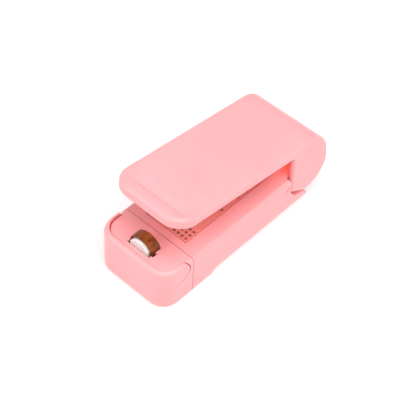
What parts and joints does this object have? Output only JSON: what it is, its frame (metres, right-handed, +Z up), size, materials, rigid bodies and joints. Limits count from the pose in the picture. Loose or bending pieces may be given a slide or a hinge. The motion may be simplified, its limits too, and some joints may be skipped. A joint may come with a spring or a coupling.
{
  "type": "handheld bag heat sealer",
  "caption": "Battery hand sealer with a press lever hinged at the rear, a sprung heater in its head and a swing-up guard band.",
  "frame": {"origin": "centre of the bounding box in X and Y, on the plane that the body stands on", "axes": "+Y from the heater head to the hinge, +X across the width, +Z up"},
  "size_m": [0.038, 0.0998, 0.046],
  "materials": {
    "pink_abs": "satin moulded",
    "coral_plate": "satin moulded",
    "white_abs": "matte moulded",
    "black_abs": "matte moulded",
    "white_ceramic": "fired ceramic",
    "brown_ptfe": "woven PTFE tape",
    "red_silicone": "matte silicone",
    "nickel_strip": "nickel plated",
    "spring_steel": "drawn wire",
    "brass_contact": "stamped sheet",
    "cell_jacket": "printed sleeve, no text",
    "red_wire": "PVC",
    "black_wire": "PVC"
  },
  "bodies": {
    "base": {"body_shell": "pink_abs", "head_block": "pink_abs", "head_floor": "white_abs", "deck_plate": "coral_plate", "battery_tray": "black_abs", "battery_left": "cell_jacket", "battery_right": "cell_jacket", "contact_plate_left": "nickel_strip", "contact_plate_right": "nickel_strip", "contact_plate_link": "nickel_strip", "contact_spring_front": "spring_steel", "contact_spring_rear": "spring_steel", "heater_spring_left": "spring_steel", "heater_spring_right": "spring_steel", "lever_spring": "spring_steel", "hinge_pin": "spring_steel", "guard_pin_left": "spring_steel", "guard_pin_right": "spring_steel", "head_screw_left": "spring_steel", "head_screw_right": "spring_steel", "fixed_contact": "brass_contact", "positive_lead": "red_wire", "negative_lead": "black_wire"},
    "lever": {"lever_shell": "pink_abs", "lever_liner": "pink_abs", "liner_screw_1": "spring_steel", "liner_screw_2": "spring_steel", "liner_screw_3": "spring_steel", "liner_screw_4": "spring_steel", "pad_holder": "white_abs", "silicone_pad": "red_silicone"},
    "guard": {"safety_guard": "pink_abs"},
    "heater": {"heater_holder": "white_ceramic", "heating_strip": "nickel_strip", "ptfe_cover": "brown_ptfe", "moving_contact": "brass_contact"},
    "door": {"battery_door": "pink_abs"}
  },
  "joints": [
    {"name": "lever_hinge", "type": "hinge", "parent": "base", "child": "lever", "pos_m": [0, 0.0385, 0.0174], "axis": [1, 0, 0], "range_deg": [0, 10.4], "stiffness_Nm_per_rad": 0.3, "springref_deg": -20.05, "deforming": ["lever_spring"]},
    {"name": "guard_hinge", "type": "hinge", "parent": "base", "child": "guard", "pos_m": [0, -0.04, 0.0176], "axis": [-1, 0, 0], "range_deg": [0, 28]},
    {"name": "heater_press", "type": "slide", "parent": "base", "child": "heater", "axis": [0, 0, -1], "range_m": [0, 0.001], "stiffness_N_per_m": 800, "springref_m": -0.001, "deforming": ["heater_spring_left", "heater_spring_right"]},
    {"name": "door_slide", "type": "slide", "parent": "base", "child": "door", "axis": [0, 1, 0], "range_m": [0, 0.064]}
  ]
}
